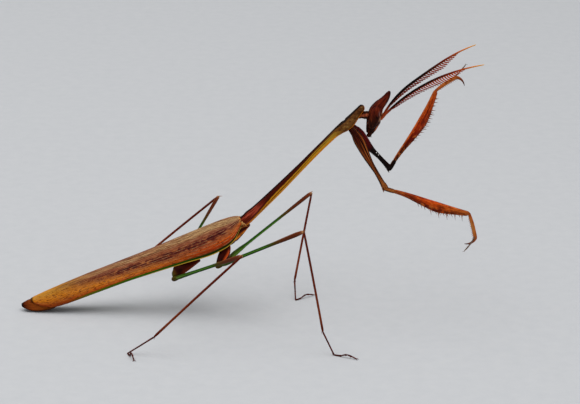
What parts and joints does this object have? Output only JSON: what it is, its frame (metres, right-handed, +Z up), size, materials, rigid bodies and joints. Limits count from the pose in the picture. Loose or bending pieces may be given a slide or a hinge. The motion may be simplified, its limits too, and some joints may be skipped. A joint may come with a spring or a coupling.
{
  "type": "praying mantis",
  "caption": "Cone-headed praying mantis, male, standing on its walking legs with long folded wings, combed antennae and its spined forelegs reaching forward.",
  "frame": {"origin": "on the floor, below the middle of the box around the whole animal", "axes": "+X ahead of the animal, +Y to its left, +Z up"},
  "size_m": [0.0842, 0.0526, 0.0486],
  "materials": {
    "pronotum": "satin dark red-brown shell with an ochre stripe along each side",
    "thorax": "satin dark maroon",
    "abdomen": "dull ochre brown",
    "tegmen": "dry veined forewing, tan above and orange below, with a green margin",
    "hindwing": "smoky brown membrane, darker at its tip",
    "head": "satin mahogany",
    "eye": "glossy red-brown compound eye",
    "neck": "soft orange-pink skin",
    "antenna": "dark red-brown comb with a paler tip",
    "fore_coxa": "satin maroon brown",
    "fore_femur": "satin orange brown",
    "fore_tibia": "satin orange brown",
    "walking_coxa": "satin dark maroon",
    "walking_femur": "satin green, brown towards the knee",
    "walking_tibia": "satin dark red-brown",
    "tarsus": "satin dark brown"
  },
  "bodies": {
    "root": {"abdomen": "abdomen", "antenna_left": "antenna", "antenna_right": "antenna", "cercus_left": "abdomen", "cercus_right": "abdomen", "eye_left": "eye", "eye_right": "eye", "fore_coxa_left": "fore_coxa", "fore_coxa_right": "fore_coxa", "fore_femur_left": "fore_femur", "fore_femur_right": "fore_femur", "fore_tarsus_left": "tarsus", "fore_tarsus_right": "tarsus", "fore_tibia_left": "fore_tibia", "fore_tibia_right": "fore_tibia", "fore_trochanter_left": "fore_coxa", "fore_trochanter_right": "fore_coxa", "head": "head", "hind_coxa_left": "walking_coxa", "hind_coxa_right": "walking_coxa", "hind_femur_left": "walking_femur", "hind_femur_right": "walking_femur", "hind_tarsus_left": "tarsus", "hind_tarsus_right": "tarsus", "hind_tibia_left": "walking_tibia", "hind_tibia_right": "walking_tibia", "hind_trochanter_left": "walking_coxa", "hind_trochanter_right": "walking_coxa", "hindwing_left": "hindwing", "hindwing_right": "hindwing", "mid_coxa_left": "walking_coxa", "mid_coxa_right": "walking_coxa", "mid_femur_left": "walking_femur", "mid_femur_right": "walking_femur", "mid_tarsus_left": "tarsus", "mid_tarsus_right": "tarsus", "mid_tibia_left": "walking_tibia", "mid_tibia_right": "walking_tibia", "mid_trochanter_left": "walking_coxa", "mid_trochanter_right": "walking_coxa", "mouthparts": "head", "neck": "neck", "prothorax": "pronotum", "pterothorax": "thorax", "tegmen_left": "tegmen", "tegmen_right": "tegmen"}
  },
  "joints": []
}
